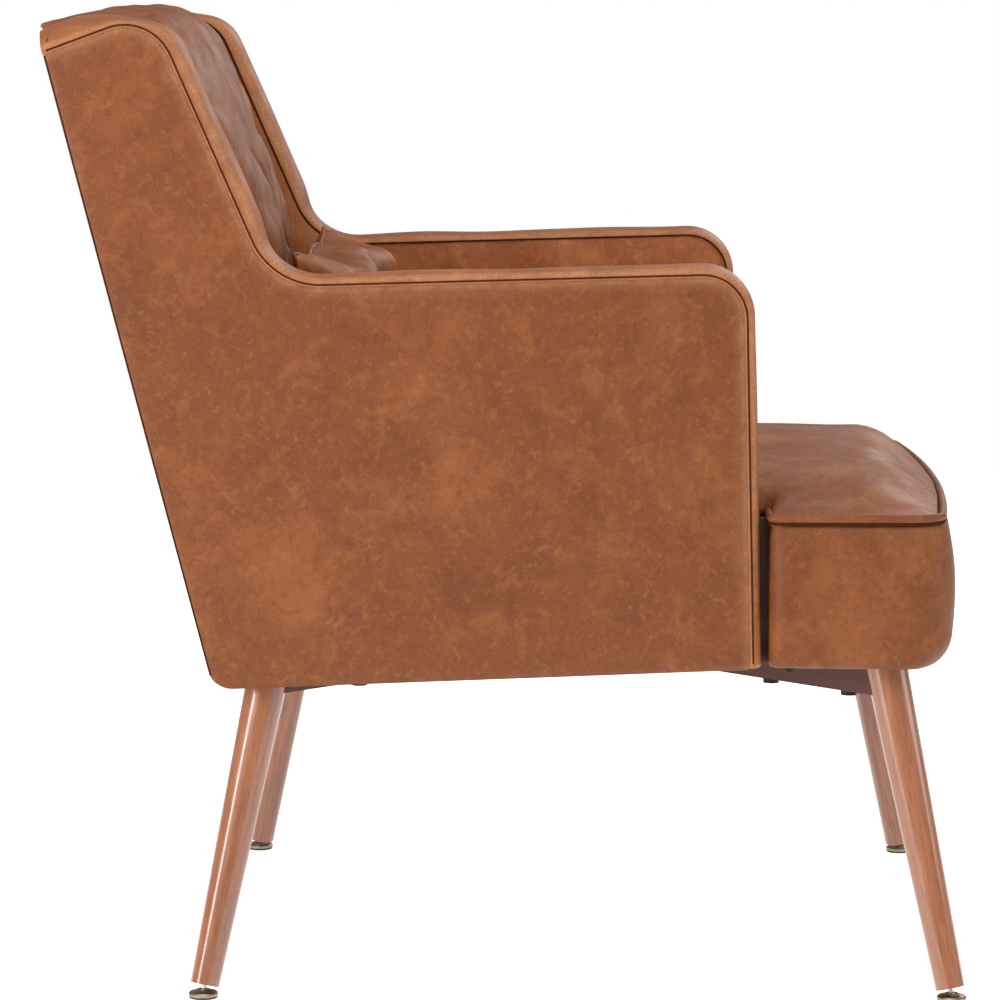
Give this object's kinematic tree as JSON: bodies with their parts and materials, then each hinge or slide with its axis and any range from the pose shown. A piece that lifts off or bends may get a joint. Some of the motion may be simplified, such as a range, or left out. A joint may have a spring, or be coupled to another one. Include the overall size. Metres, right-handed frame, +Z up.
{
  "type": "upholstered armchair",
  "caption": "Leather-look armchair with raked wing sides, a T-shaped domed seat, a loose lumbar pillow and splayed turned wooden legs on levelling glides.",
  "frame": {"origin": "on the floor, below the middle of the chair's box", "axes": "+Z up, the chair faces -Y, +X to the sitter's left"},
  "size_m": [0.635, 0.7788, 0.84],
  "materials": {
    "black_steel": "black oxide, satin",
    "dust_cloth": "non-woven cloth",
    "foam": "open-cell foam",
    "frame_wood": "sawn, unfinished",
    "glide_metal": "antique bronze plating",
    "glide_plastic": "matt",
    "leather_brown": "distressed, satin",
    "leather_pillow": "distressed, satin",
    "leather_welt": "distressed, satin",
    "spring_steel": "oiled wire",
    "wadding": "fibre wadding",
    "walnut": "walnut stain, satin lacquer",
    "webbing": "woven elastic",
    "zinc_steel": "zinc plated"
  },
  "bodies": {
    "root": {"leg_front_left": "walnut", "leg_front_right": "walnut", "leg_rear_left": "walnut", "leg_rear_right": "walnut", "underframe_bar_upper": "walnut", "underframe_bar_lower": "walnut", "underframe_bolts": "black_steel", "tee_nuts": "zinc_steel", "leg_bolts": "black_steel", "barrel_nuts": "black_steel", "glide_sleeves": "zinc_steel", "seat_front_rail": "frame_wood", "seat_rear_rail": "frame_wood", "seat_side_rail_left": "frame_wood", "seat_side_rail_right": "frame_wood", "corner_blocks": "frame_wood", "front_post_left": "frame_wood", "front_post_right": "frame_wood", "rear_post_left": "frame_wood", "rear_post_right": "frame_wood", "arm_rail_left": "frame_wood", "arm_rail_right": "frame_wood", "wing_board_left": "frame_wood", "wing_board_right": "frame_wood", "back_top_rail": "frame_wood", "back_lumbar_rail": "frame_wood", "back_webbing": "webbing", "seat_springs": "spring_steel", "spring_clips": "zinc_steel", "seat_foam": "foam", "seat_wadding": "wadding", "seat_border_padding": "foam", "back_foam": "foam", "side_padding_left": "foam", "side_padding_right": "foam", "outer_side_cover_left": "leather_brown", "outer_side_cover_right": "leather_brown", "inner_side_cover_left": "leather_brown", "inner_side_cover_right": "leather_brown", "facing_strip_left": "leather_brown", "facing_strip_right": "leather_brown", "outside_back_cover": "leather_brown", "inside_back_cover": "leather_brown", "seat_top_cover": "leather_brown", "seat_border_cover": "leather_brown", "seat_welt": "leather_welt", "dust_cover": "dust_cloth"},
    "pillow": {"lumbar_pillow": "leather_pillow"},
    "stem_front_left": {"glide_stem_front_left": "zinc_steel"},
    "glide_front_left": {"glide_base_front_left": "glide_metal", "glide_pad_front_left": "glide_plastic"},
    "stem_front_right": {"glide_stem_front_right": "zinc_steel"},
    "glide_front_right": {"glide_base_front_right": "glide_metal", "glide_pad_front_right": "glide_plastic"},
    "stem_rear_left": {"glide_stem_rear_left": "zinc_steel"},
    "glide_rear_left": {"glide_base_rear_left": "glide_metal", "glide_pad_rear_left": "glide_plastic"},
    "stem_rear_right": {"glide_stem_rear_right": "zinc_steel"},
    "glide_rear_right": {"glide_base_rear_right": "glide_metal", "glide_pad_rear_right": "glide_plastic"}
  },
  "joints": [
    {"name": "pillow_lift", "type": "slide", "parent": "root", "child": "pillow", "axis": [0, -0.5, 0.866], "range_m": [0, 0.35]},
    {"name": "level_front_left", "type": "slide", "parent": "root", "child": "stem_front_left", "axis": [0.1925, -0.1925, -0.9623], "range_m": [0, 0.008]},
    {"name": "tilt_front_left", "type": "hinge", "parent": "stem_front_left", "child": "glide_front_left", "pos_m": [0.305, -0.378, 0.0052], "axis": [0.7071, 0.7071, 0], "range_deg": [-10, 10]},
    {"name": "level_front_right", "type": "slide", "parent": "root", "child": "stem_front_right", "axis": [-0.1925, -0.1925, -0.9623], "range_m": [0, 0.008]},
    {"name": "tilt_front_right", "type": "hinge", "parent": "stem_front_right", "child": "glide_front_right", "pos_m": [-0.305, -0.378, 0.0052], "axis": [0.7071, -0.7071, 0], "range_deg": [-10, 10]},
    {"name": "level_rear_left", "type": "slide", "parent": "root", "child": "stem_rear_left", "axis": [0.1925, 0.1925, -0.9623], "range_m": [0, 0.008]},
    {"name": "tilt_rear_left", "type": "hinge", "parent": "stem_rear_left", "child": "glide_rear_left", "pos_m": [0.305, 0.258, 0.0052], "axis": [-0.7071, 0.7071, 0], "range_deg": [-10, 10]},
    {"name": "level_rear_right", "type": "slide", "parent": "root", "child": "stem_rear_right", "axis": [-0.1925, 0.1925, -0.9623], "range_m": [0, 0.008]},
    {"name": "tilt_rear_right", "type": "hinge", "parent": "stem_rear_right", "child": "glide_rear_right", "pos_m": [-0.305, 0.258, 0.0052], "axis": [-0.7071, -0.7071, 0], "range_deg": [-10, 10]}
  ]
}
